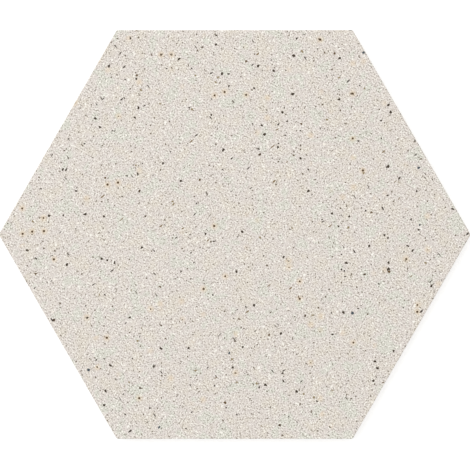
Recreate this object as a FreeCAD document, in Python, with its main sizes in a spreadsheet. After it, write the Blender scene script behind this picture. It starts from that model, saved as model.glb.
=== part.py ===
"""Hexagon floor tile: one dry-pressed porcelain slab, 230 mm across its flats.

The wearing face has a softened arris. Below it a straight lip meets the neighbouring tiles, and under the lip
the skirt draws in to the back, where a field of shallow hexagonal keys gives the adhesive its grip.

Frame: millimetres, +Z up. The origin is the middle of the back, on the plane that the tile lies on. Two
corners point along +X and -X, and two flats face +Y and -Y.
"""

import FreeCAD, Part
import Sketcher

import math
import os

NODE = "floor_tile"
SHEET = "sizes"
HEXAGON_SIDES = 6
CORNER_TURN = 360.0 / HEXAGON_SIDES
KEY_SECTORS = 3
SECTOR_TURN = 360.0 / KEY_SECTORS
LEVEL_TOLERANCE = 1e-4
COUNT_TOLERANCE = 1e-3

# The named points of a sketched line, arc or circle, and the origin of a sketch.
START = 1
END = 2
CENTRE = 3
SKETCH_ORIGIN = (-1, START)

# Every size that can be set by itself: millimetres, or degrees where the name ends in draft.
SIZES = {
    "across_flats": (230.0, "width over two opposite flats of the lip"),
    "thickness": (9.0, "back plane to wearing face"),
    "corner_radius": (1.5, "rounding of the six corners, seen from above"),
    "arris_radius": (0.6, "rounding between the wearing face and the lip"),
    "lip_height": (5.0, "straight band under the wearing face, arris included"),
    "skirt_draft": (6.0, "slope of the skirt, from the lip in towards the back"),
    "heel_chamfer": (0.6, "bevel between the skirt and the back"),
    "key_depth": (0.7, "depth of the keys pressed into the back"),
    "key_pitch": (27.0, "distance between the middles of neighbouring keys"),
    "key_wall": (4.0, "land left between two keys"),
    "key_draft": (30.0, "slope of a key's walls, which narrow towards its floor"),
}


def size(name):
    """The expression that reads one named size from the sheet."""
    return f"<<{SHEET}>>.{name}"


def write_sizes(doc):
    """Writes the driving sizes into a spreadsheet, one row each: its meaning and its value."""
    sheet = doc.addObject("Spreadsheet::Sheet", SHEET)
    for row, (name, (value, meaning)) in enumerate(SIZES.items(), start=1):
        sheet.set(f"A{row}", meaning)
        sheet.set(f"B{row}", str(value))
        sheet.setAlias(f"B{row}", name)
    doc.recompute()


def origin_feature(body, role):
    """One of the body's own origin planes or axes."""
    return next(feature for feature in body.Origin.OriginFeatures if feature.Role == role)


def hexagon_sketch(body, name, flats, turn, offset, corner="0"):
    """A sketch of a regular hexagon, held by its inscribed circle, with sharp corners or with rounded ones.

    flats, corner and the values of offset are expressions. turn is the direction that the first side runs in,
    in degrees, and offset moves the middle of the hexagon along the axes that it names.
    """
    sketch = body.newObject("Sketcher::SketchObject", name)
    sketch.AttachmentSupport = (origin_feature(body, "XY_Plane"), "")
    sketch.MapMode = "FlatFace"
    for axis, distance in offset.items():
        sketch.setExpression(f"AttachmentOffset.Base.{axis}", distance)

    inner_radius = float(sketch.evalExpression(flats)) / 2
    corner_radius = float(sketch.evalExpression(corner))
    up = FreeCAD.Vector(0, 0, 1)
    inscribed = sketch.addGeometry(Part.Circle(FreeCAD.Vector(), up, inner_radius), True)
    sketch.addConstraint(Sketcher.Constraint("Coincident", inscribed, CENTRE, *SKETCH_ORIGIN))
    bind(sketch, Sketcher.Constraint("Diameter", inscribed, 2 * inner_radius), "flats", flats)

    half_turn = math.radians(CORNER_TURN / 2)
    half_side = (inner_radius - corner_radius) * math.tan(half_turn)
    sides = []
    arcs = []
    for number in range(HEXAGON_SIDES):
        along_angle = math.radians(turn + CORNER_TURN * number)
        out_angle = along_angle - math.pi / 2
        along = FreeCAD.Vector(math.cos(along_angle), math.sin(along_angle), 0)
        out = FreeCAD.Vector(math.cos(out_angle), math.sin(out_angle), 0)
        start = out * inner_radius - along * half_side
        end = out * inner_radius + along * half_side
        sides.append(sketch.addGeometry(Part.LineSegment(start, end), False))
        if corner_radius:
            circle = Part.Circle(end - out * corner_radius, up, corner_radius)
            arc = Part.ArcOfCircle(circle, out_angle, out_angle + 2 * half_turn)
            arcs.append(sketch.addGeometry(arc, False))

    sketch.addConstraint(Sketcher.Constraint("Angle", sides[0], math.radians(turn)))
    for number in range(1, HEXAGON_SIDES // 2):
        between = math.radians(CORNER_TURN * number)
        sketch.addConstraint(Sketcher.Constraint("Angle", sides[0], sides[number], between))
    for side, opposite in zip(sides, sides[HEXAGON_SIDES // 2:]):
        sketch.addConstraint(Sketcher.Constraint("Parallel", side, opposite))
    for side in sides:
        sketch.addConstraint(Sketcher.Constraint("Tangent", side, inscribed))
    following_sides = sides[1:] + sides[:1]
    if arcs:
        for side, arc, following in zip(sides, arcs, following_sides):
            sketch.addConstraint(Sketcher.Constraint("Tangent", side, END, arc, START))
            sketch.addConstraint(Sketcher.Constraint("Tangent", arc, END, following, START))
        for arc in arcs[1:]:
            sketch.addConstraint(Sketcher.Constraint("Equal", arcs[0], arc))
        bind(sketch, Sketcher.Constraint("Radius", arcs[0], corner_radius), "corner", corner)
    else:
        for side, following in zip(sides, following_sides):
            sketch.addConstraint(Sketcher.Constraint("Coincident", side, END, following, START))
    return sketch


def bind(sketch, constraint, label, expression):
    """Adds a dimension to a sketch and lets the expression drive it."""
    sketch.renameConstraint(sketch.addConstraint(constraint), label)
    sketch.setExpression(f"Constraints.{label}", expression)


def edges_at(feature, level):
    """Names of the edges of a feature's shape that lie wholly at one height."""
    return [
        f"Edge{number}"
        for number, edge in enumerate(feature.Shape.Edges, start=1)
        if max(abs(edge.BoundBox.ZMin - level), abs(edge.BoundBox.ZMax - level)) < LEVEL_TOLERANCE
    ]


def add_blank(body):
    """The pressed blank: the lip, the skirt under it, the arris above it and the bevelled heel below."""
    doc = body.Document
    outline = hexagon_sketch(
        body,
        "TileOutline",
        flats=size("across_flats"),
        turn=0,
        offset={"z": f"{size('thickness')} - {size('lip_height')}"},
        corner=size("corner_radius"),
    )
    lip = body.newObject("PartDesign::Pad", "Lip")
    lip.Profile = outline
    lip.setExpression("Length", size("lip_height"))

    skirt = body.newObject("PartDesign::Pad", "Skirt")
    skirt.Profile = outline
    skirt.Reversed = True
    skirt.setExpression("Length", f"{size('thickness')} - {size('lip_height')}")
    skirt.setExpression("TaperAngle", f"-{size('skirt_draft')}")
    doc.recompute()

    arris = body.newObject("PartDesign::Fillet", "Arris")
    arris.Base = (skirt, edges_at(skirt, skirt.Shape.BoundBox.ZMax))
    arris.setExpression("Radius", size("arris_radius"))
    doc.recompute()

    heel = body.newObject("PartDesign::Chamfer", "Heel")
    heel.Base = (arris, edges_at(arris, arris.Shape.BoundBox.ZMin))
    heel.setExpression("Size", size("heel_chamfer"))
    doc.recompute()


def add_keys(body):
    """The keys: hexagonal pockets in rings round a plain middle cell, each with a side towards each neighbour.

    Leaving the middle out, the rings part into three equal rhombi turned about the middle. One rhombus has as
    many keys as there are rings along the first direction, and one more along the second.
    """
    doc = body.Document
    blank_volume = body.Shape.Volume
    first_key = hexagon_sketch(
        body,
        "KeyOutline",
        flats=f"{size('key_pitch')} - {size('key_wall')}",
        turn=CORNER_TURN / 2,
        offset={"x": size("key_pitch")},
    )
    # A line of unit length that only gives the second direction of the rhombus.
    slant = math.radians(SECTOR_TURN)
    slant_end = FreeCAD.Vector(math.cos(slant), math.sin(slant), 0)
    slant_line = first_key.addGeometry(Part.LineSegment(FreeCAD.Vector(), slant_end), True)
    first_key.addConstraint(Sketcher.Constraint("Coincident", slant_line, START, *SKETCH_ORIGIN))
    first_key.addConstraint(Sketcher.Constraint("Angle", slant_line, slant))
    first_key.addConstraint(Sketcher.Constraint("Distance", slant_line, slant_end.Length))

    key = body.newObject("PartDesign::Pocket", "Key")
    key.Profile = first_key
    key.Reversed = True
    key.setExpression("Length", size("key_depth"))
    key.setExpression("TaperAngle", f"-{size('key_draft')}")
    doc.recompute()
    key_volume = blank_volume - body.Shape.Volume

    # A key's corners point at the tile's flats. The outer ring leaves at least a wall of land between them
    # and the bevel.
    inset = f"({size('thickness')} - {size('lip_height')}) * tan({size('skirt_draft')} * 1deg)"
    key_limit = f"{size('across_flats')} / 2 - {inset} - {size('heel_chamfer')} - {size('key_wall')}"
    key_reach = f"({size('key_pitch')} - {size('key_wall')}) / 2 / cos({CORNER_TURN / 2}deg)"
    ring_step = f"{size('key_pitch')} * cos({CORNER_TURN / 2}deg)"
    rings = f"floor(({key_limit} - {key_reach}) / ({ring_step}))"

    field = body.newObject("PartDesign::MultiTransform", "KeyField")
    field.Originals = [key]
    rows = []
    for name, axis, count in (("KeyRow", "H_Axis", rings), ("KeySlantRow", "Axis0", f"{rings} + 1")):
        row = body.newObject("PartDesign::LinearPattern", name)
        row.Direction = (first_key, [axis])
        row.Mode = "Spacing"
        row.setExpression("Offset", size("key_pitch"))
        row.setExpression("Occurrences", count)
        rows.append(row)
    sectors = body.newObject("PartDesign::PolarPattern", "KeySectors")
    sectors.Axis = (origin_feature(body, "Z_Axis"), [""])
    sectors.Angle = KEY_SECTORS * SECTOR_TURN
    sectors.Occurrences = KEY_SECTORS
    field.Transformations = [*rows, sectors]
    body.Tip = field
    doc.recompute()

    key_count = sectors.Occurrences * math.prod(row.Occurrences for row in rows)
    field_volume = blank_volume - body.Shape.Volume
    if key_volume <= 0 or abs(field_volume / key_volume - key_count) > COUNT_TOLERANCE:
        raise RuntimeError(f"the back holds {field_volume / key_volume:.3f} keys, not {key_count}")


def main():
    doc = FreeCAD.newDocument("HexagonFloorTile")
    write_sizes(doc)
    tile = doc.addObject("PartDesign::Body", "FloorTile")
    tile.Label = NODE
    add_blank(tile)
    add_keys(tile)
    tile.Placement = FreeCAD.Placement()
    doc.recompute()

    for item in doc.Objects:
        if "Invalid" in item.State or "Error" in item.State:
            raise RuntimeError(f"{item.Label} failed: {item.State}")
    if tile.Shape.isNull() or not tile.Shape.isValid() or len(tile.Shape.Solids) != 1:
        raise RuntimeError(f"{tile.Label} has no single valid solid")

    os.makedirs("parts", exist_ok=True)
    tile.Shape.exportStep(f"parts/{tile.Label}.step")


main()
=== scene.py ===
"""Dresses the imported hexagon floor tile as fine-grained terrazzo porcelain and sets up its studio view.

The tile is one pressed slab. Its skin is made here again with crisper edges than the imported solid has: a
section carried round the outline, one shallow key carried round its own outline and set out over the back,
and the flat land between them. The finish is a porcelain body with crushed mineral grains all through it,
so that every surface shows the same grains where it cuts them.
"""

import logging
import math
from dataclasses import dataclass
from enum import Enum
from typing import Any

import bmesh
import bpy
import numpy as np
from mathutils.geometry import delaunay_2d_cdt
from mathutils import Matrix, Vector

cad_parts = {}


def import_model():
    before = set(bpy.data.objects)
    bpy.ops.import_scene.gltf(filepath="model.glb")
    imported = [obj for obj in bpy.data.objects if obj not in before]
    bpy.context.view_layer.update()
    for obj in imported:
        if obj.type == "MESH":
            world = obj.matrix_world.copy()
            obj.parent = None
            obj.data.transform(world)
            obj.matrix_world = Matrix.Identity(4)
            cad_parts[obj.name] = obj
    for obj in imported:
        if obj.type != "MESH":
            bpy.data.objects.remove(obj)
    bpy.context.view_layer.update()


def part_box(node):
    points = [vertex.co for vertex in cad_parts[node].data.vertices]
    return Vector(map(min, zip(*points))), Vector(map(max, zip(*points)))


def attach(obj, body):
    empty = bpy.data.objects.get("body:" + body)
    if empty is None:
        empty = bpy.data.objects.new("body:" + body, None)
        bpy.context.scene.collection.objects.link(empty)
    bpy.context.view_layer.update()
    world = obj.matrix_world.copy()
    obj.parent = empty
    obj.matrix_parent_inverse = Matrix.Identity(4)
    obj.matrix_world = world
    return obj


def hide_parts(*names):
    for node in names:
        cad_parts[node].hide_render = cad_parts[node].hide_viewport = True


LOG = logging.getLogger("floor_tile")

NODE = "floor_tile"
BODY = "root"
BAKE_MAP = "OFBake"

MM = 0.001
SIDES = 6
SIDE_TURN = math.tau / SIDES
HALF_CORNER = math.cos(SIDE_TURN / 2)
WELD_DISTANCE = 2e-7

Colour = tuple[float, float, float, float]
Tree = bpy.types.NodeTree
Socket = bpy.types.NodeSocket


def linear_colour(code: str) -> Colour:
    """Turns an sRGB hex colour into a linear one.

    Args:
        code: The colour, as # and six hex digits.

    Returns:
        The linear red, green and blue that shader sockets take, with an alpha of 1.
    """
    channels = [int(code[start : start + 2], 16) / 255 for start in (1, 3, 5)]
    linear = [c / 12.92 if c <= 0.04045 else ((c + 0.055) / 1.055) ** 2.4 for c in channels]
    return (*linear, 1.0)


def add_node(
    tree: Tree,
    kind: str,
    inputs: dict[str | int, Any] | None = None,
    stops: list[tuple[float, Colour]] | None = None,
    **settings: Any,
) -> bpy.types.Node:
    """Adds a shader node, with its settings, its input values and links, and a ramp's stops.

    Args:
        tree: The node tree that the node joins.
        kind: The node's type name.
        inputs: Input name or number to a value, or to the output socket that feeds it.
        stops: Position and colour of each stop, where the node is a ramp.
        **settings: Properties of the node itself.

    Returns:
        The new node.
    """
    node = tree.nodes.new(kind)
    for name, value in settings.items():
        setattr(node, name, value)
    for key, value in (inputs or {}).items():
        if isinstance(value, Socket):
            tree.links.new(value, node.inputs[key])
        else:
            node.inputs[key].default_value = value
    if stops:
        elements = node.color_ramp.elements
        while len(elements) < len(stops):
            elements.new(1.0)
        for element, (position, colour) in zip(elements, stops):
            element.position = position
            element.color = colour
    return node


def directions(angles: np.ndarray) -> np.ndarray:
    """Unit vectors in the plane, with x and y on a last axis."""
    return np.stack([np.cos(angles), np.sin(angles)], axis=-1)


def ring_faces(rings: int, around: int) -> np.ndarray:
    """Quads of a closed band: each joins two neighbouring points of one ring to the next ring's.

    Args:
        rings: Number of rings.
        around: Number of points on each ring.

    Returns:
        Four point numbers for each quad, counted ring by ring.
    """
    ring, place = np.meshgrid(np.arange(rings - 1), np.arange(around), indexing="ij")
    following = (place + 1) % around
    here = ring * around
    quads = [here + place, here + following, here + around + following, here + around + place]
    return np.stack(quads, axis=-1).reshape(-1, 4)


def rounded_bend(
    corner: tuple[float, float], start: float, end: float, radius: float, steps: int
) -> list[tuple[float, float]]:
    """Rounds one bend of a section.

    The arc touches the line that comes in and the one that goes out, both given by their directions, and so
    starts the radius times the tangent of half the turn before the corner.

    Args:
        corner: Inset and height of the sharp corner.
        start: Direction of travel into the bend, in radians.
        end: Direction of travel out of it.
        radius: Radius of the arc.
        steps: Number of chords.

    Returns:
        Inset and height of the arc's points.
    """
    half = (end - start) / 2
    side = math.copysign(1.0, half)
    back = radius * math.tan(abs(half))
    centre = (
        corner[0] - back * math.cos(start) - side * radius * math.sin(start),
        corner[1] - back * math.sin(start) + side * radius * math.cos(start),
    )
    turns = np.linspace(start, end, steps + 1)
    insets = centre[0] + side * radius * np.sin(turns)
    heights = centre[1] - side * radius * np.cos(turns)
    return list(zip(insets.tolist(), heights.tolist()))


@dataclass(frozen=True)
class RoundedHexagon:
    """A closed path round a hexagon with rounded corners, about the origin.

    Attributes:
        inradius: Distance from the middle to a side, in metres.
        corner_radius: Rounding of the corners, in metres.
        facing: Direction that one side faces, in radians.
        corner_steps: Chords in each corner. An odd number puts a chord square across the corner's tip.
        side_steps: Parts of each straight side.
    """

    inradius: float
    corner_radius: float
    facing: float
    corner_steps: int
    side_steps: int

    def rings(self, insets: np.ndarray) -> np.ndarray:
        """Carries the path inwards by each inset.

        A corner's arc keeps its middle while its radius shrinks with the inset. The middles lie on the six
        corner directions, at the inner radius of the middle's own hexagon divided by the cosine of half a
        side's turn. Each straight side is divided evenly between the arcs that it joins.

        Args:
            insets: Distances inwards from the path, negative for outwards.

        Returns:
            Points as an array of insets by path points by x and y, counter-clockwise.
        """
        radius = np.maximum(self.corner_radius - insets, 0.0)
        reach = (self.inradius - insets - radius) / HALF_CORNER
        corners = self.facing + SIDE_TURN * (np.arange(SIDES) + 0.5)
        turns = corners[:, None] + np.linspace(-0.5, 0.5, self.corner_steps + 1) * SIDE_TURN
        middles = reach[:, None, None, None] * directions(corners)[:, None]
        arcs = middles + radius[:, None, None, None] * directions(turns)
        starts = arcs[:, :, -1:]
        ends = np.roll(arcs, -1, axis=1)[:, :, :1]
        along = (np.arange(1, self.side_steps) / self.side_steps)[:, None]
        straights = starts + (ends - starts) * along
        return np.concatenate([arcs, straights], axis=2).reshape(len(insets), -1, 2)


@dataclass(frozen=True)
class Section:
    """A section through an edge: how far in and how high each of its points lies.

    Attributes:
        inset: Distance of each point inwards from the outline, in metres.
        height: Height of each point, in metres.
        shrink: Scale of each point's ring. It is below 1 where the section has crossed the whole form and
            its last ring is drawn towards the middle.
    """

    inset: np.ndarray
    height: np.ndarray
    shrink: np.ndarray

    @classmethod
    def through(cls, points: list[tuple[float, float]], closing: tuple[float, ...]) -> "Section":
        """Joins the points of an edge to the rings that close its flat.

        Args:
            points: Inset and height of each point of the edge, in order.
            closing: Scales of the last point's ring, on towards the middle.

        Returns:
            The section.
        """
        edge = np.array(points + [points[-1]] * len(closing))
        scales = np.concatenate([np.ones(len(points)), closing])
        return cls(edge[:, 0], edge[:, 1], scales)

    def run(self) -> np.ndarray:
        """Distance along the section from its first point."""
        steps = np.hypot(np.diff(self.inset), np.diff(self.height))
        return np.concatenate([[0.0], np.cumsum(steps)])


class Shell:
    """Surfaces gathered for one mesh, each with its own place on the baked map."""

    def __init__(self) -> None:
        """Starts with no surface."""
        self.points: list[np.ndarray] = []
        self.places: list[np.ndarray] = []
        self.faces: list[list[int]] = []
        self.count = 0

    def add(self, points: np.ndarray, places: np.ndarray, faces: np.ndarray) -> None:
        """Adds a surface.

        Args:
            points: Its points, in metres.
            places: The place of each point on the baked map.
            faces: Numbers of the points round each face, counted from this surface's first point.
        """
        self.points.append(points)
        self.places.append(places)
        self.faces.extend((faces + self.count).tolist())
        self.count += len(points)

    def mesh(self, name: str) -> bpy.types.Mesh:
        """Welds the surfaces along their seams into one closed, smooth mesh, which faces outwards.

        Args:
            name: The mesh's name.

        Returns:
            The mesh, with its places on the baked map.
        """
        mesh = bpy.data.meshes.new(name)
        mesh.from_pydata(np.concatenate(self.points), [], self.faces)
        corners = np.empty(len(mesh.loops), dtype=np.int32)
        mesh.loops.foreach_get("vertex_index", corners)
        layer = mesh.uv_layers.new(name=BAKE_MAP)
        layer.data.foreach_set("uv", np.concatenate(self.places)[corners].astype(np.float32).ravel())

        welded = bmesh.new()
        welded.from_mesh(mesh)
        bmesh.ops.remove_doubles(welded, verts=welded.verts, dist=WELD_DISTANCE)
        bmesh.ops.recalc_face_normals(welded, faces=welded.faces)
        open_edges = sum(not edge.is_manifold for edge in welded.edges)
        if open_edges:
            raise ValueError(f"{name} has {open_edges} open edges")
        welded.to_mesh(mesh)
        welded.free()
        mesh.shade_smooth()
        return mesh


class Cut(Enum):
    """How a crushed grain breaks: its length over its width."""

    BLOCKY = 1.0
    SLIVER = 3.2


@dataclass(frozen=True)
class Grain:
    """One mineral among the grains of a sieve.

    Attributes:
        share: Part of the sieve's places that this mineral fills.
        colour: Its colour as sRGB hex.
    """

    share: float
    colour: str


@dataclass(frozen=True)
class Sieve:
    """Crushed grains of one size, scattered through the body.

    Attributes:
        name: What the grains are, in the maker's words.
        size: Width of a grain's place, in metres.
        cut: How the grains break.
        turn: Direction of the grains' length, in radians.
        grains: The minerals and their shares. The places that they leave are body.
    """

    name: str
    size: float
    cut: Cut
    turn: float
    grains: tuple[Grain, ...]


SIEVES = (
    # Grey quartz dust: dim specks everywhere, which keep the body from looking painted.
    Sieve("grey_dust", 0.65 * MM, Cut.BLOCKY, 0.4, (
        Grain(0.005, "#9d9486"),
        Grain(0.004, "#a89e90"),
        Grain(0.010, "#746959"),
    )),
    # White feldspar dust: single bright points.
    Sieve("white_dust", 0.80 * MM, Cut.BLOCKY, 2.8, (
        Grain(0.023, "#fffcf2"),
    )),
    # Fine basalt: crisp dark points, a little larger than the grey dust.
    Sieve("fine_basalt", 0.78 * MM, Cut.BLOCKY, 1.7, (
        Grain(0.0011, "#2a1c0b"),
        Grain(0.0060, "#655642"),
    )),
    # White feldspar: the few bright grains that are larger than a point.
    Sieve("feldspar", 1.1 * MM, Cut.BLOCKY, 1.1, (
        Grain(0.0015, "#fffcf4"),
        Grain(0.0015, "#fdf6ea"),
    )),
    # Black basalt and brown iron-stained chips: the specks that the eye counts.
    Sieve("basalt", 1.30 * MM, Cut.BLOCKY, 2.3, (
        Grain(0.0061, "#322203"),
        Grain(0.0004, "#463010"),
        Grain(0.0008, "#604825"),
        Grain(0.0012, "#938362"),
        Grain(0.0003, "#3f4a50"),
    )),
    # Splinters of the same stone, lying two ways.
    Sieve("splinters_left", 0.65 * MM, Cut.SLIVER, 0.7, (
        Grain(0.0008, "#2e200f"),
        Grain(0.0006, "#826c48"),
    )),
    Sieve("splinters_right", 0.65 * MM, Cut.SLIVER, 2.2, (
        Grain(0.0008, "#2e200f"),
        Grain(0.0006, "#6f675b"),
    )),
)


@dataclass(frozen=True)
class Clay:
    """The tints of the clay, which drift into each other as soft clouds.

    Attributes:
        cloud_size: Width of a cloud, in metres.
        tints: Where on the clouds' noise each tint stands, and the tint as sRGB hex.
    """

    cloud_size: float = 10.0 * MM
    tints: tuple[tuple[float, str], ...] = (
        (0.37, "#d9d8cc"),  # sage
        (0.45, "#dfd6d0"),  # rosy
        (0.56, "#ded5cc"),  # plain
        (0.66, "#dfd6c9"),  # sandy
    )


@dataclass(frozen=True)
class Mottle:
    """How a pattern between 0 and 1 darkens the body at its low end and pales it at its high end.

    Attributes:
        dark_from: Value below which the body starts to darken.
        dark_full: Value at which it is darkest.
        dark_amount: Part of the dark tone there.
        pale_from: Value above which the body starts to pale.
        pale_full: Value at which it is palest.
        pale_amount: Part of the pale tone there.
        dark_tone: Tone of the darkest powder, as sRGB hex.
        pale_tone: Tone of the palest powder.
    """

    dark_from: float
    dark_full: float
    dark_amount: float
    pale_from: float
    pale_full: float
    pale_amount: float
    dark_tone: str = "#938a7d"
    pale_tone: str = "#fffbf1"


@dataclass(frozen=True)
class RustBloom:
    """Grains rich in iron, whose colour bled into the clay about them in the kiln.

    Attributes:
        spacing: Width of the place that may hold one such grain, in metres.
        share: Part of the places that do.
        radius: Radius of the grain, in metres.
        crisp: Part of that radius within which the grain has its full tone.
        tone: The grain's tone, as sRGB hex.
        reach: How far its tint spreads, in metres.
        tint: The tint.
        strength: Part of the tint right beside the grain.
    """

    spacing: float = 6.0 * MM
    share: float = 0.125
    radius: float = 0.75 * MM
    crisp: float = 0.8
    tone: str = "#523b18"
    reach: float = 3.1 * MM
    tint: str = "#e8cfa8"
    strength: float = 0.50


@dataclass(frozen=True)
class PressedSkin:
    """The fine slip that the die wipes over the edges and the back, and that veils the grains there.

    Attributes:
        tone: Its tone, as sRGB hex.
        bare_from: Upward part of a surface's normal above which it is bare.
        full_from: Upward part below which it is fully veiled.
        amount: Part of the tone on a veiled surface.
    """

    tone: str = "#d9d2c7"
    bare_from: float = 0.7
    full_from: float = 0.2
    amount: float = 0.45


@dataclass(frozen=True)
class KilnWash:
    """White refractory wash that the kiln's rollers leave in streaks on the land of the back.

    Attributes:
        tone: Its tone, as sRGB hex.
        streak: Width, length and depth of a streak, in metres.
        thin_at: Noise value below which the wash is thinnest.
        thick_at: Noise value above which it is thickest.
        thinnest: Part of the tone where it is thinnest.
        thickest: Part of the tone where it is thickest.
        climb: Height above the back plane at which it ends, in metres.
    """

    tone: str = "#ece8e1"
    streak: tuple[float, float, float] = (4.0 * MM, 60.0 * MM, 4.0 * MM)
    thin_at: float = 0.42
    thick_at: float = 0.68
    thinnest: float = 0.05
    thickest: float = 0.7
    climb: float = 0.25 * MM


@dataclass(frozen=True)
class FiredRelief:
    """The granules' own relief, fused almost level in the kiln, which breaks up every highlight.

    Attributes:
        width: Width of a bump, in metres.
        depth: Height of the bumps, in metres.
        strength: Part of that height that shows.
    """

    width: float = 0.9 * MM
    depth: float = 0.04 * MM
    strength: float = 0.35


@dataclass(frozen=True)
class TerrazzoPorcelain:
    """Unglazed porcelain stoneware, pressed from coloured powder with crushed grains and fired matt.

    To the eye it is one warm pale grey from afar and a fine salt-and-pepper from near, dull from every side.
    The powder's granules stay visible, since each is a droplet of slip dried by itself. Feldspar, quartz and
    basalt grains lie through the whole thickness, so that the edges and the back show them too.

    Attributes:
        clay: The tints under the grains.
        granule_size: Width of a powder granule, in metres.
        granules: How the granules differ from each other.
        grain_size: Width of the powder's salt-and-pepper, in metres.
        grain_turn: Direction of its rows, in radians, so that they run along no side of the tile.
        grain: How the salt-and-pepper differs from the clay.
        bloom: The rusty grains and their tint.
        gap: Largest gap round a grain, as a part of its place's width.
        soft: Width over which a grain's edge blends into the body, as a part of its place's width.
        shift: How far one sieve's pattern is moved from the last one's, in places.
        skin: The veil on the edges and the back.
        wash: The wash on the back's land.
        relief: The surface's fine relief.
        roughness: Roughness of the fired surface, dull as typical for matt stoneware.
        ior: Index of refraction of its glassy part.
    """

    clay: Clay = Clay()
    granule_size: float = 0.5 * MM
    granules: Mottle = Mottle(0.25, 0.0, 0.15, 0.75, 1.0, 0.3)
    # Real powder grains are 0.2 to 0.4 mm. They are drawn coarser, so that they show at the photograph's
    # scale. A whole number of them fits into the thickness, so the pattern is at its crispest on the face.
    grain_size: float = 0.75 * MM
    grain_turn: float = 0.5
    grain: Mottle = Mottle(0.445, 0.22, 0.85, 0.53, 0.78, 1.0)
    bloom: RustBloom = RustBloom()
    gap: float = 0.06
    soft: float = 0.04
    shift: tuple[float, float, float] = (0.31, 0.17, 0.23)
    skin: PressedSkin = PressedSkin()
    wash: KilnWash = KilnWash()
    relief: FiredRelief = FiredRelief()
    roughness: float = 0.62
    ior: float = 1.52

    def material(self) -> bpy.types.Material:
        """Builds the material, from the clay outwards.

        Returns:
            The material.
        """
        material = bpy.data.materials.new("terrazzo_porcelain")
        material.use_nodes = True
        tree = material.node_tree
        tree.nodes.clear()
        coordinates = add_node(tree, "ShaderNodeTexCoord").outputs
        place = coordinates["Object"]
        colour = self.powder(tree, place)
        colour = self.add_blooms(tree, place, colour)
        for number, sieve in enumerate(SIEVES):
            colour = self.scatter(tree, place, colour, sieve, number)
        colour = self.veil_with_skin(tree, coordinates["Normal"], colour)
        colour = self.streak_with_wash(tree, place, colour)
        shader = add_node(tree, "ShaderNodeBsdfPrincipled", {
            "Base Color": colour,
            "Roughness": self.roughness,
            "IOR": self.ior,
            "Normal": self.fired_surface(tree, place),
        })
        add_node(tree, "ShaderNodeOutputMaterial", {"Surface": shader.outputs["BSDF"]})
        return material

    def powder(self, tree: Tree, place: Socket) -> Socket:
        """The pressed powder: soft clouds of tint, under granules and grains that are paler or darker.

        The clouds are a noise that picks the tint. Each granule is a place of its own with one random value.
        The salt-and-pepper is a noise of one octave, whose values change from one of its cells to the next.

        Args:
            tree: The material's node tree.
            place: Object coordinates.

        Returns:
            The powder's colour.
        """
        cloud = add_node(tree, "ShaderNodeTexNoise", {
            "Vector": place,
            "Scale": 1 / self.clay.cloud_size,
            "Detail": 2.0,
            "Roughness": 0.5,
        })
        stops = [(value, linear_colour(tint)) for value, tint in self.clay.tints]
        tint = add_node(tree, "ShaderNodeValToRGB", {"Fac": cloud.outputs["Fac"]}, stops=stops)
        granule = add_node(tree, "ShaderNodeTexVoronoi", {
            "Vector": place,
            "Scale": 1 / self.granule_size,
            "Randomness": 1.0,
        })
        value = add_node(tree, "ShaderNodeSeparateColor", {"Color": granule.outputs["Color"]})
        coarse = self.mottled(tree, tint.outputs["Color"], value.outputs["Red"], self.granules)
        turned = add_node(tree, "ShaderNodeMapping", {
            "Vector": place,
            "Rotation": (0.0, 0.0, self.grain_turn),
        })
        grain = add_node(tree, "ShaderNodeTexNoise", {
            "Vector": turned.outputs["Vector"],
            "Scale": 1 / self.grain_size,
            "Detail": 0.0,
        })
        return self.mottled(tree, coarse, grain.outputs["Fac"], self.grain)

    def mottled(self, tree: Tree, under: Socket, value: Socket, mottle: Mottle) -> Socket:
        """Darkens and pales a colour as a pattern's value says.

        Args:
            tree: The material's node tree.
            under: The colour.
            value: The pattern, between 0 and 1.
            mottle: Where and how much it darkens and pales.

        Returns:
            The mottled colour.
        """
        ends = (
            (mottle.dark_from, mottle.dark_full, mottle.dark_amount, mottle.dark_tone),
            (mottle.pale_from, mottle.pale_full, mottle.pale_amount, mottle.pale_tone),
        )
        for first, full, amount, tone in ends:
            part = add_node(tree, "ShaderNodeMapRange", {
                "Value": value,
                "From Min": first,
                "From Max": full,
                "To Min": 0.0,
                "To Max": amount,
            })
            under = add_node(tree, "ShaderNodeMix", {
                "Factor": part.outputs["Result"],
                "A": under,
                "B": linear_colour(tone),
            }, data_type="RGBA").outputs["Result"]
        return under

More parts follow.
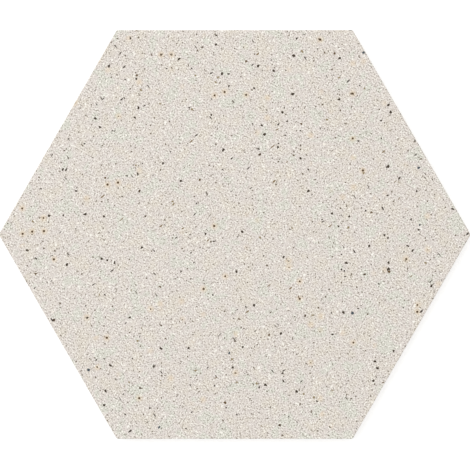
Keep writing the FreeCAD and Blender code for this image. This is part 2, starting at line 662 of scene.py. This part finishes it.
    def add_blooms(self, tree: Tree, place: Socket, under: Socket) -> Socket:
        """Tints the clay about the few rusty grains, strongest beside each grain, and adds the grains.

        The body is parted into wide places, of which a few are chosen by their random value. The tint fades
        smoothly with the distance from the place's middle, and the grain is a small ball there.

        Args:
            tree: The material's node tree.
            place: Object coordinates.
            under: The powder's colour.

        Returns:
            The colour with the blooms.
        """
        bloom = self.bloom
        cells = add_node(tree, "ShaderNodeTexVoronoi", {
            "Vector": place,
            "Scale": 1 / bloom.spacing,
            "Randomness": 1.0,
        })
        pick = add_node(tree, "ShaderNodeSeparateColor", {"Color": cells.outputs["Color"]})
        chosen = add_node(tree, "ShaderNodeMath", {
            0: pick.outputs["Red"],
            1: bloom.share,
        }, operation="LESS_THAN")
        layers = (
            (bloom.reach, 0.0, bloom.strength, bloom.tint),
            (bloom.radius, bloom.radius * bloom.crisp, 1.0, bloom.tone),
        )
        for outer, inner, amount, tone in layers:
            near = add_node(tree, "ShaderNodeMapRange", {
                "Value": cells.outputs["Distance"],
                "From Min": outer / bloom.spacing,
                "From Max": inner / bloom.spacing,
                "To Min": 0.0,
                "To Max": amount,
            }, interpolation_type="SMOOTHSTEP")
            part = add_node(tree, "ShaderNodeMath", {
                0: near.outputs["Result"],
                1: chosen.outputs["Value"],
            }, operation="MULTIPLY")
            under = add_node(tree, "ShaderNodeMix", {
                "Factor": part.outputs["Value"],
                "A": under,
                "B": linear_colour(tone),
            }, data_type="RGBA").outputs["Result"]
        return under

    def scatter(self, tree: Tree, place: Socket, under: Socket, sieve: Sieve, number: int) -> Socket:
        """Scatters one sieve of grains over the colour under it.

        The body is parted into angular places, each with random values of its own. A place is filled where
        its first value is below the sum of the sieve's shares. Divided by that sum, the value picks the
        mineral, by the shares stacked up. The second value says how wide a gap the grain leaves to its
        place's edge.

        Args:
            tree: The material's node tree.
            place: Object coordinates.
            under: The colour that the grains lie in.
            sieve: The grains.
            number: Which of the sieves it is, so that no two have the same pattern.

        Returns:
            The colour with the grains.
        """
        length = sieve.size * sieve.cut.value
        turned = add_node(tree, "ShaderNodeMapping", {
            "Vector": place,
            "Location": tuple(number * part for part in self.shift),
            "Rotation": (0.0, 0.0, sieve.turn),
            "Scale": (length, sieve.size, sieve.size),
        }, vector_type="TEXTURE").outputs["Vector"]
        cells = add_node(tree, "ShaderNodeTexVoronoi", {"Vector": turned, "Scale": 1.0, "Randomness": 1.0})
        edge = add_node(tree, "ShaderNodeTexVoronoi", {
            "Vector": turned,
            "Scale": 1.0,
            "Randomness": 1.0,
        }, feature="DISTANCE_TO_EDGE")
        picks = add_node(tree, "ShaderNodeSeparateColor", {"Color": cells.outputs["Color"]}).outputs

        total = sum(grain.share for grain in sieve.grains)
        stops = []
        stacked = 0.0
        for grain in sieve.grains:
            stops.append((stacked / total, linear_colour(grain.colour)))
            stacked += grain.share
        pick = add_node(tree, "ShaderNodeMath", {0: picks["Red"], 1: total}, operation="DIVIDE")
        mineral = add_node(tree, "ShaderNodeValToRGB", {"Fac": pick.outputs["Value"]}, stops=stops)
        mineral.color_ramp.interpolation = "CONSTANT"
        filled = add_node(tree, "ShaderNodeMath", {0: picks["Red"], 1: total}, operation="LESS_THAN")

        gap = add_node(tree, "ShaderNodeMath", {0: picks["Green"], 1: self.gap}, operation="MULTIPLY")
        inside = add_node(tree, "ShaderNodeMath", {
            0: edge.outputs["Distance"],
            1: gap.outputs["Value"],
        }, operation="SUBTRACT")
        crisp = add_node(tree, "ShaderNodeMapRange", {
            "Value": inside.outputs["Value"],
            "From Min": 0.0,
            "From Max": self.soft,
        })
        cover = add_node(tree, "ShaderNodeMath", {
            0: crisp.outputs["Result"],
            1: filled.outputs["Value"],
        }, operation="MULTIPLY")
        return add_node(tree, "ShaderNodeMix", {
            "Factor": cover.outputs["Value"],
            "A": under,
            "B": mineral.outputs["Color"],
        }, data_type="RGBA", label=sieve.name).outputs["Result"]

    def veil_with_skin(self, tree: Tree, normal: Socket, under: Socket) -> Socket:
        """Veils the surfaces that don't face upwards with the skin that the die leaves.

        Args:
            tree: The material's node tree.
            normal: The surface's direction in object space.
            under: The body's colour.

        Returns:
            The veiled colour.
        """
        upward = add_node(tree, "ShaderNodeSeparateXYZ", {"Vector": normal})
        part = add_node(tree, "ShaderNodeMapRange", {
            "Value": upward.outputs["Z"],
            "From Min": self.skin.bare_from,
            "From Max": self.skin.full_from,
            "To Min": 0.0,
            "To Max": self.skin.amount,
        })
        return add_node(tree, "ShaderNodeMix", {
            "Factor": part.outputs["Result"],
            "A": under,
            "B": linear_colour(self.skin.tone),
        }, data_type="RGBA").outputs["Result"]

    def streak_with_wash(self, tree: Tree, place: Socket, under: Socket) -> Socket:
        """Streaks the back's land with kiln wash, and leaves the keys' floors bare.

        Args:
            tree: The material's node tree.
            place: Object coordinates.
            under: The veiled colour.

        Returns:
            The colour with the wash.
        """
        wash = self.wash
        streaks = add_node(tree, "ShaderNodeMapping", {
            "Vector": place,
            "Scale": wash.streak,
        }, vector_type="TEXTURE")
        noise = add_node(tree, "ShaderNodeTexNoise", {
            "Vector": streaks.outputs["Vector"],
            "Scale": 1.0,
            "Detail": 4.0,
            "Roughness": 0.6,
        })
        thickness = add_node(tree, "ShaderNodeMapRange", {
            "Value": noise.outputs["Fac"],
            "From Min": wash.thin_at,
            "From Max": wash.thick_at,
            "To Min": wash.thinnest,
            "To Max": wash.thickest,
        })
        height = add_node(tree, "ShaderNodeSeparateXYZ", {"Vector": place})
        land = add_node(tree, "ShaderNodeMapRange", {
            "Value": height.outputs["Z"],
            "From Min": wash.climb,
            "From Max": 0.0,
            "To Min": 0.0,
            "To Max": 1.0,
        })
        part = add_node(tree, "ShaderNodeMath", {
            0: thickness.outputs["Result"],
            1: land.outputs["Result"],
        }, operation="MULTIPLY")
        return add_node(tree, "ShaderNodeMix", {
            "Factor": part.outputs["Value"],
            "A": under,
            "B": linear_colour(wash.tone),
        }, data_type="RGBA").outputs["Result"]

    def fired_surface(self, tree: Tree, place: Socket) -> Socket:
        """Gives the surface the relief of its fused granules, a noise of a few octaves.

        Args:
            tree: The material's node tree.
            place: Object coordinates.

        Returns:
            The normal that the shader takes.
        """
        noise = add_node(tree, "ShaderNodeTexNoise", {
            "Vector": place,
            "Scale": 1 / self.relief.width,
            "Detail": 3.0,
            "Roughness": 0.55,
        })
        return add_node(tree, "ShaderNodeBump", {
            "Strength": self.relief.strength,
            "Distance": self.relief.depth,
            "Height": noise.outputs["Fac"],
        }).outputs["Normal"]


@dataclass(frozen=True)
class TileSizes:
    """Real sizes of the pressed tile, in metres, and its slopes in radians.

    Attributes:
        across_flats: Width over two opposite flats.
        thickness: Back plane to wearing face.
        corner_radius: Rounding of the corners, seen from above.
        arris_radius: Rounding between the wearing face and the lip.
        lip_height: Straight band under the wearing face, arris included.
        skirt_draft: Slope of the skirt, from the lip in towards the back.
        heel: Width of the bevel between the skirt and the back.
        key_depth: Depth of the keys in the back.
        key_pitch: Distance between the middles of neighbouring keys.
        key_wall: Land left between two keys.
        key_draft: Slope of a key's walls.
        key_corner: Rounding of a key's corners, seen from below.
        key_rings: Rings of keys round the plain middle.
    """

    across_flats: float
    thickness: float
    corner_radius: float = 1.5 * MM
    arris_radius: float = 0.6 * MM
    lip_height: float = 5.0 * MM
    skirt_draft: float = math.radians(6)
    heel: float = 0.6 * MM
    key_depth: float = 0.7 * MM
    key_pitch: float = 27.0 * MM
    key_wall: float = 4.0 * MM
    key_draft: float = math.radians(30)
    key_corner: float = 1.1 * MM
    key_rings: int = 4

    @classmethod
    def from_box(cls, low: Any, high: Any) -> "TileSizes":
        """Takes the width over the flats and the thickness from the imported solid's box."""
        return cls(across_flats=float(high[1] - low[1]), thickness=float(high[2] - low[2]))


@dataclass(frozen=True)
class PressedTile:
    """The tile's whole skin: wearing face, edges, back land and keys, as one closed surface.

    Attributes:
        sizes: The tile's real sizes.
        finish: What it is made of.
        support: Distance from a bend to the ring that keeps the flat beside it flat, in metres.
        lip_bend: Rounding between lip and skirt, in metres.
        heel_bend: Rounding of the heel's two bends.
        rim_bend: Rounding of a key's rim and of its floor's edge.
        face_rings: Scales of the rings that close the wearing face.
        floor_rings: Scales of the rings that close a key's floor.
        face_map_width: Part of the baked map's width that the face and the edges take.
        back_map_width: Part that the back takes, in what is left above them.
        map_margin: Clear edge of the map.
    """

    sizes: TileSizes
    finish: TerrazzoPorcelain = TerrazzoPorcelain()
    support: float = 0.25 * MM
    lip_bend: float = 0.25 * MM
    heel_bend: float = 0.15 * MM
    rim_bend: float = 0.2 * MM
    face_rings: tuple[float, ...] = (0.97, 0.8, 0.6, 0.4, 0.2, 0.0)
    floor_rings: tuple[float, ...] = (0.96, 0.5, 0.0)
    face_map_width: float = 0.80
    back_map_width: float = 0.31
    map_margin: float = 0.008

    @property
    def outline(self) -> RoundedHexagon:
        """The tile's outline over the lip, with two flats along X."""
        inradius = self.sizes.across_flats / 2
        return RoundedHexagon(inradius, self.sizes.corner_radius, SIDE_TURN / 2, corner_steps=7, side_steps=16)

    @property
    def key_outline(self) -> RoundedHexagon:
        """A key's outline at its rim, with two sides that face along X."""
        inradius = (self.sizes.key_pitch - self.sizes.key_wall) / 2
        return RoundedHexagon(inradius, self.sizes.key_corner, 0.0, corner_steps=3, side_steps=3)

    def edge_section(self) -> Section:
        """Draws the section from the back's outer land round the edge to the wearing face's middle.

        It runs outwards along the back to the heel's bevel, up the skirt to the lip, up the lip, round the
        arris and inwards over the face.

        Returns:
            The section.
        """
        s = self.sizes
        lip_line = s.thickness - s.lip_height
        skirt_inset = lip_line * math.tan(s.skirt_draft)
        heel_inset = skirt_inset - s.heel * math.tan(s.skirt_draft)
        out, up, inwards = math.pi, math.pi / 2, 0.0
        bevel = math.atan2(s.heel, -(s.heel + skirt_inset - heel_inset))
        skirt = up + s.skirt_draft
        land_edge = skirt_inset + s.heel
        points = [(land_edge + self.support, 0.0)]
        points += rounded_bend((land_edge, 0.0), out, bevel, self.heel_bend, steps=2)
        points += rounded_bend((heel_inset, s.heel), bevel, skirt, self.heel_bend, steps=2)
        points += rounded_bend((0.0, lip_line), skirt, up, self.lip_bend, steps=2)
        points += [(0.0, lip_line + 2 * self.support), (0.0, s.thickness - s.arris_radius - self.support)]
        points += rounded_bend((0.0, s.thickness), up, inwards, s.arris_radius, steps=6)
        points += [(s.arris_radius + self.support, s.thickness)]
        return Section.through(points, self.face_rings)

    def key_section(self) -> Section:
        """Draws the section of a key, from the land over its rim, up its wall and over its floor.

        Returns:
            The section.
        """
        s = self.sizes
        wall = math.pi / 2 - s.key_draft
        foot = s.key_depth * math.tan(s.key_draft)
        points = [(-self.support, 0.0)]
        points += rounded_bend((0.0, 0.0), 0.0, wall, self.rim_bend, steps=3)
        points += rounded_bend((foot, s.key_depth), wall, 0.0, self.rim_bend, steps=3)
        return Section.through(points, self.floor_rings)

    def key_middles(self) -> np.ndarray:
        """Places the keys: the points of a triangular lattice that lie within the rings, but the middle.

        A lattice point is so many steps along two directions a sixth of a turn apart. It lies within the
        rings where neither count, nor their sum, is larger than the number of rings.

        Returns:
            x and y of each key's middle.
        """
        rings = self.sizes.key_rings
        first, second = np.meshgrid(np.arange(-rings, rings + 1), np.arange(-rings, rings + 1))
        first, second = first.ravel(), second.ravel()
        within = (np.abs(first + second) <= rings) & ((first != 0) | (second != 0))
        steps = directions(np.array([0.0, SIDE_TURN])) * self.sizes.key_pitch
        return first[within, None] * steps[0] + second[within, None] * steps[1]

    def face_places(self, flat: np.ndarray) -> np.ndarray:
        """Places the unfolded face and edges in the lower left of the baked map."""
        scale = self.face_map_width / np.ptp(flat[..., 0])
        return (flat - flat.min(axis=0)) * scale + self.map_margin

    def back_places(self, flat: np.ndarray) -> np.ndarray:
        """Places the back, seen from below, in the upper left of the baked map.

        Args:
            flat: x and y of the back's points, in metres.

        Returns:
            Their places on the map.
        """
        scale = self.back_map_width / (self.sizes.across_flats / HALF_CORNER)
        half_height = self.sizes.across_flats / 2 * scale
        middle = np.array([self.back_map_width / 2, 1 - half_height]) + [self.map_margin, -self.map_margin]
        return flat * [-scale, scale] + middle

    def add_edge(self, shell: Shell) -> np.ndarray:
        """Adds the surface from the back's outer land round to the wearing face.

        On the map the edge is unfolded outwards from the arris: a point lies as far out as the way along the
        section from it to the face is long.

        Args:
            shell: The shell that the surface joins.

        Returns:
            The ring of points where the land begins.
        """
        section = self.edge_section()
        rings = self.outline.rings(section.inset) * section.shrink[:, None, None]
        around = rings.shape[1]
        heights = np.broadcast_to(section.height[:, None, None], (*rings.shape[:2], 1))
        points = np.concatenate([rings, heights], axis=2).reshape(-1, 3)

        run = section.run()
        face_start = len(run) - len(self.face_rings) - 1
        unfolded_inset = section.inset[face_start] - np.maximum(run[face_start] - run, 0.0)
        unfolded = self.outline.rings(unfolded_inset) * section.shrink[:, None, None]
        shell.add(points, self.face_places(unfolded.reshape(-1, 2)), ring_faces(len(rings), around))
        return rings[0]

    def add_keys(self, shell: Shell) -> np.ndarray:
        """Adds every key.

        Args:
            shell: The shell that the surfaces join.

        Returns:
            The ring of points round each key where the land begins, key by key.
        """
        section = self.key_section()
        rings = self.key_outline.rings(section.inset) * section.shrink[:, None, None]
        middles = self.key_middles()
        around = rings.shape[1]
        flat = middles[:, None, None] + rings
        heights = np.broadcast_to(section.height[:, None, None], (*flat.shape[:3], 1))
        points = np.concatenate([flat, heights], axis=3).reshape(-1, 3)
        starts = np.arange(len(middles)) * rings.shape[0] * around
        faces = (starts[:, None, None] + ring_faces(len(rings), around)).reshape(-1, 4)
        shell.add(points, self.back_places(points[:, :2]), faces)
        return flat[:, 0]

    def add_land(self, shell: Shell, outer: np.ndarray, rims: np.ndarray) -> None:
        """Adds the flat land between the outer ring and the keys' rims.

        The rings are joined by triangles, and those that lie inside a key are left out: a triangle's middle
        is in a key where its distance along each of the key's three side directions is less than the rim's.

        Args:
            shell: The shell that the surface joins.
            outer: The ring of points at the edge of the land.
            rims: The ring of points round each key.
        """
        rings = [outer, *rims]
        flat = np.concatenate(rings)
        starts = np.cumsum([0] + [len(ring) for ring in rings[:-1]])
        edges = [
            (start + place, start + (place + 1) % len(ring))
            for start, ring in zip(starts.tolist(), rings)
            for place in range(len(ring))
        ]
        found = delaunay_2d_cdt(flat.tolist(), edges, [], 1, WELD_DISTANCE)
        places = np.array([tuple(point) for point in found[0]])
        faces = np.array(found[2])
        middles = places[faces].mean(axis=1)
        normals = directions(SIDE_TURN * np.arange(SIDES // 2))
        from_keys = middles[:, None] - rims.mean(axis=1)[None]
        reach = np.abs(from_keys @ normals.T).max(axis=2).min(axis=1)
        faces = faces[reach > self.key_outline.inradius + self.support]
        points = np.concatenate([places, np.zeros((len(places), 1))], axis=1)
        shell.add(points, self.back_places(places), faces)

    def build(self) -> bpy.types.Object:
        """Builds the piece and puts it in the scene.

        Returns:
            The piece, not yet dressed.
        """
        shell = Shell()
        outer = self.add_edge(shell)
        rims = self.add_keys(shell)
        self.add_land(shell, outer, rims)
        piece = bpy.data.objects.new("pressed_tile", shell.mesh("pressed_tile"))
        bpy.context.collection.objects.link(piece)
        return piece

    def dress(self, piece: bpy.types.Object) -> None:
        """Gives the piece its finish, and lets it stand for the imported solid.

        Args:
            piece: The built piece.
        """
        piece.data.materials.append(self.finish.material())
        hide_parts(NODE)
        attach(piece, BODY)


@dataclass(frozen=True)
class Studio:
    """A white table under soft light from all round, with one large soft lamp for shape.

    Attributes:
        floor_size: Width of the table, in metres.
        floor_gap: How far it lies under the tile's back, in metres.
        clear_within: Way that light from the tile's back runs unseen through the table, in metres.
        floor_colour: The matt paint of the table, as sRGB hex.
        floor_glow: Light of its own that lifts it to white where it is seen.
        sky_colour: The light from all round.
        sky_strength: Its strength.
        lamp_energy: Power of the lamp, in watts.
        lamp_size: Width of the lamp, in metres.
        lamp_place: Where it hangs, in metres: high, at the upper left.
    """

    floor_size: float = 6.0
    floor_gap: float = 0.02 * MM
    clear_within: float = 1.2 * MM
    floor_colour: str = "#e8e8e8"
    floor_glow: float = 0.37
    sky_colour: str = "#ffffff"
    sky_strength: float = 0.8
    lamp_energy: float = 12.4
    lamp_size: float = 1.6
    lamp_place: tuple[float, float, float] = (-0.9, 0.7, 1.9)

    def build(self) -> None:
        """Adds the floor, the lamp and the sky."""
        self.add_floor()
        self.add_lamp()
        self.add_sky()

    def seen_directly(self, tree: Tree) -> Socket:
        """Tells what is seen from light on its way.

        Args:
            tree: The node tree that asks.

        Returns:
            One for what is seen straight, in a mirror or through glass, and zero for other light.
        """
        path = add_node(tree, "ShaderNodeLightPath").outputs
        seen = add_node(tree, "ShaderNodeMath", {
            0: path["Is Camera Ray"],
            1: path["Is Glossy Ray"],
        }, operation="ADD")
        return add_node(tree, "ShaderNodeMath", {
            0: seen.outputs["Value"],
            1: path["Is Transmission Ray"],
        }, operation="ADD").outputs["Value"]

    def table_paint(self) -> bpy.types.Material:
        """Mixes the table's matt white paint, which keeps the tile's shadow and is seen as white.

        Its underside is clear, and so is the table for light that starts right under the tile, so that the
        tile's back can be looked at from below.

        Returns:
            The material.
        """
        material = bpy.data.materials.new("white_table")
        material.use_nodes = True
        tree = material.node_tree
        tree.nodes.clear()
        matt = add_node(tree, "ShaderNodeBsdfDiffuse", {"Color": linear_colour(self.floor_colour)})
        strength = add_node(tree, "ShaderNodeMath", {
            0: self.seen_directly(tree),
            1: self.floor_glow,
        }, operation="MULTIPLY")
        glow = add_node(tree, "ShaderNodeEmission", {"Strength": strength.outputs["Value"]})
        paint = add_node(tree, "ShaderNodeAddShader", {0: matt.outputs["BSDF"], 1: glow.outputs["Emission"]})
        nearby = add_node(tree, "ShaderNodeMath", {
            0: add_node(tree, "ShaderNodeLightPath").outputs["Ray Length"],
            1: self.clear_within,
        }, operation="LESS_THAN")
        clear = add_node(tree, "ShaderNodeMath", {
            0: nearby.outputs["Value"],
            1: add_node(tree, "ShaderNodeNewGeometry").outputs["Backfacing"],
        }, operation="MAXIMUM")
        surface = add_node(tree, "ShaderNodeMixShader", {
            0: clear.outputs["Value"],
            1: paint.outputs["Shader"],
            2: add_node(tree, "ShaderNodeBsdfTransparent").outputs["BSDF"],
        })
        add_node(tree, "ShaderNodeOutputMaterial", {"Surface": surface.outputs["Shader"]})
        return material

    def add_floor(self) -> None:
        """Adds the table as one square face just under the tile."""
        half = self.floor_size / 2
        low = -self.floor_gap
        corners = [(-half, -half, low), (half, -half, low), (half, half, low), (-half, half, low)]
        mesh = bpy.data.meshes.new("floor")
        mesh.from_pydata(corners, [], [(0, 1, 2, 3)])
        mesh.materials.append(self.table_paint())
        floor = bpy.data.objects.new("floor", mesh)
        bpy.context.collection.objects.link(floor)

    def add_lamp(self) -> None:
        """Adds a large square lamp, high at the upper left and aimed at the tile."""
        light = bpy.data.lights.new("soft_lamp", "AREA")
        light.shape = "SQUARE"
        light.size = self.lamp_size
        light.energy = self.lamp_energy
        lamp = bpy.data.objects.new("soft_lamp", light)
        lamp.location = self.lamp_place
        away = lamp.location.normalized()
        lamp.rotation_euler = away.to_track_quat("Z", "Y").to_euler()
        bpy.context.collection.objects.link(lamp)

    def add_sky(self) -> None:
        """Adds even white light from all round, seen as plain white behind the floor's edge."""
        world = bpy.data.worlds.new("white_room")
        world.use_nodes = True
        tree = world.node_tree
        tree.nodes.clear()
        strength = add_node(tree, "ShaderNodeMix", {
            "Factor": self.seen_directly(tree),
            "A": self.sky_strength,
            "B": 1.0,
        }, data_type="FLOAT")
        sky = add_node(tree, "ShaderNodeBackground", {
            "Color": linear_colour(self.sky_colour),
            "Strength": strength.outputs["Result"],
        })
        add_node(tree, "ShaderNodeOutputWorld", {"Surface": sky.outputs["Background"]})
        bpy.context.scene.world = world


@dataclass(frozen=True)
class ProductCamera:
    """A camera straight above the tile, with corners to the left and right and flats above and below.

    Attributes:
        lens_mm: Focal length.
        sensor_mm: Width of the sensor.
        frame_width: Width of the frame at the wearing face, in metres. It cuts the outermost corner tips.
        off_centre: Place of the frame's middle, in metres.
        nearest: Distance from which the camera sees, in metres.
    """

    lens_mm: float = 100.0
    sensor_mm: float = 36.0
    frame_width: float = 264.3 * MM
    off_centre: tuple[float, float] = (0.14 * MM, -0.28 * MM)
    nearest: float = 0.01

    def build(self, face_height: float) -> None:
        """Adds the camera, as high above the face as makes its frame as wide as it is to be.

        Args:
            face_height: Height of the wearing face, in metres.
        """
        camera_data = bpy.data.cameras.new("product_camera")
        camera_data.lens = self.lens_mm
        camera_data.sensor_width = self.sensor_mm
        camera_data.clip_start = self.nearest
        camera = bpy.data.objects.new("product_camera", camera_data)
        distance = self.frame_width * self.lens_mm / self.sensor_mm
        camera.location = (*self.off_centre, face_height + distance)
        bpy.context.collection.objects.link(camera)
        bpy.context.scene.camera = camera


def main() -> None:
    """Builds and dresses the tile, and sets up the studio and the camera."""
    logging.basicConfig(level=logging.INFO, format="%(message)s")
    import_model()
    sizes = TileSizes.from_box(*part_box(NODE))

    tile = PressedTile(sizes)
    piece = tile.build()
    tile.dress(piece)
    LOG.info("%s: %d faces", piece.name, len(piece.data.polygons))

    Studio().build()
    ProductCamera().build(sizes.thickness)
    bpy.context.scene.view_settings.view_transform = "Standard"


if __name__ == "__main__":
    main()
